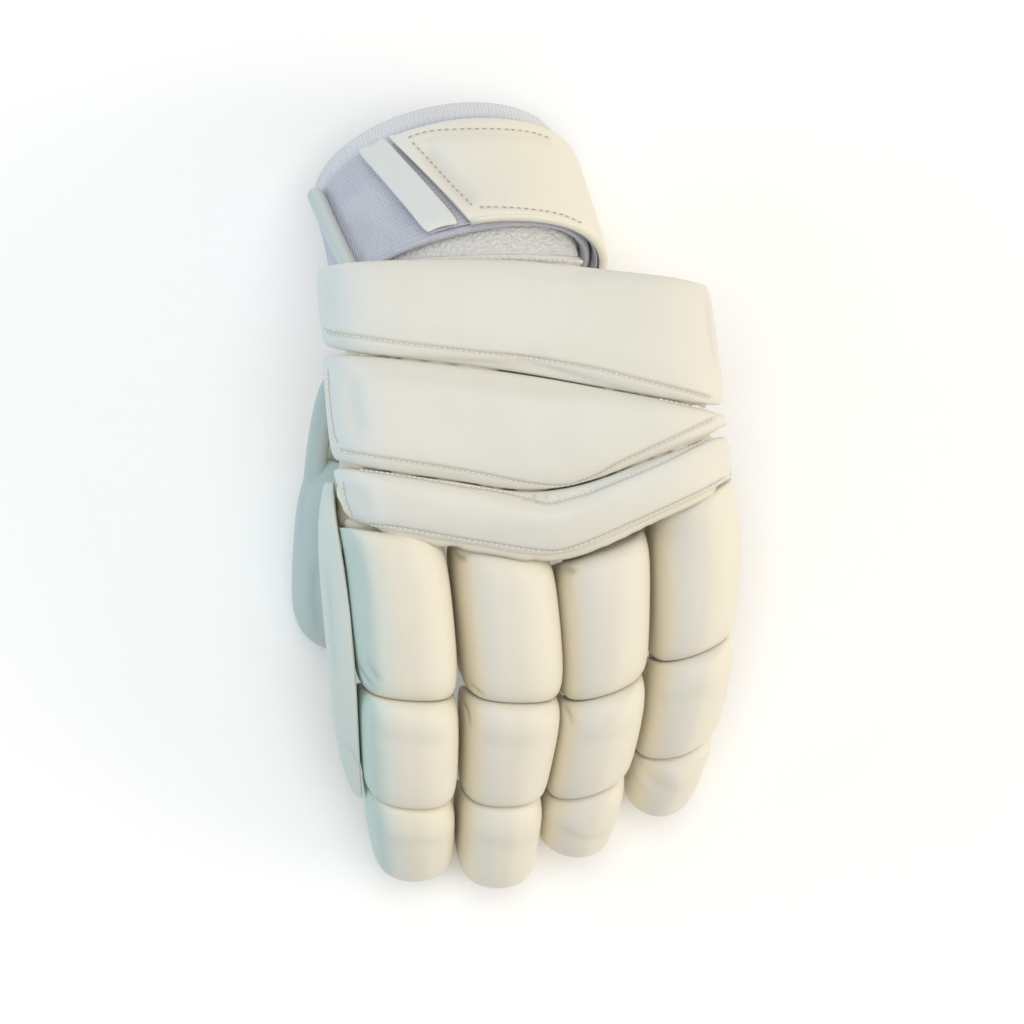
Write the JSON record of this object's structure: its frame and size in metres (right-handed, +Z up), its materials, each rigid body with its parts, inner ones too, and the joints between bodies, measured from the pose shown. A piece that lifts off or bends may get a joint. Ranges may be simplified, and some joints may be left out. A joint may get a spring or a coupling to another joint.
{
  "type": "cricket batting glove",
  "caption": "Padded left-hand cricket batting glove with finger rolls, back panels, thumb guard and a strapped knit cuff, lying palm down.",
  "frame": {"origin": "middle of the glove's footprint, on the surface it lies on", "axes": "+Z up out of the back of the hand, -Y towards the fingertips, +Y towards the cuff, -X towards the thumb"},
  "size_m": [0.165, 0.2908, 0.0964],
  "materials": {
    "pad_leather": "satin",
    "panel_leather": "satin",
    "palm_leather": "matte",
    "side_leather": "satin",
    "towelling": "matte",
    "knit": "matte",
    "strap_plastic": "satin"
  },
  "bodies": {
    "root": {"index_pad_base": "pad_leather", "index_pad_middle": "pad_leather", "index_pad_tip": "pad_leather", "middle_pad_base": "pad_leather", "middle_pad_middle": "pad_leather", "middle_pad_tip": "pad_leather", "ring_pad_base": "pad_leather", "ring_pad_middle": "pad_leather", "ring_pad_tip": "pad_leather", "little_pad_base": "pad_leather", "little_pad_middle": "pad_leather", "little_pad_tip": "pad_leather", "index_stall": "palm_leather", "middle_stall": "palm_leather", "ring_stall": "palm_leather", "little_stall": "palm_leather", "hand_shell": "palm_leather", "thumb_stall": "palm_leather", "panel_wrist": "panel_leather", "panel_knuckle": "panel_leather", "panel_chevron": "panel_leather", "thumb_guard": "side_leather", "index_side_bar": "side_leather", "cuff_piping": "side_leather", "wrist_band": "towelling", "cuff": "knit", "strap_base": "knit", "strap_patch": "panel_leather", "strap_bar": "strap_plastic"}
  },
  "joints": []
}
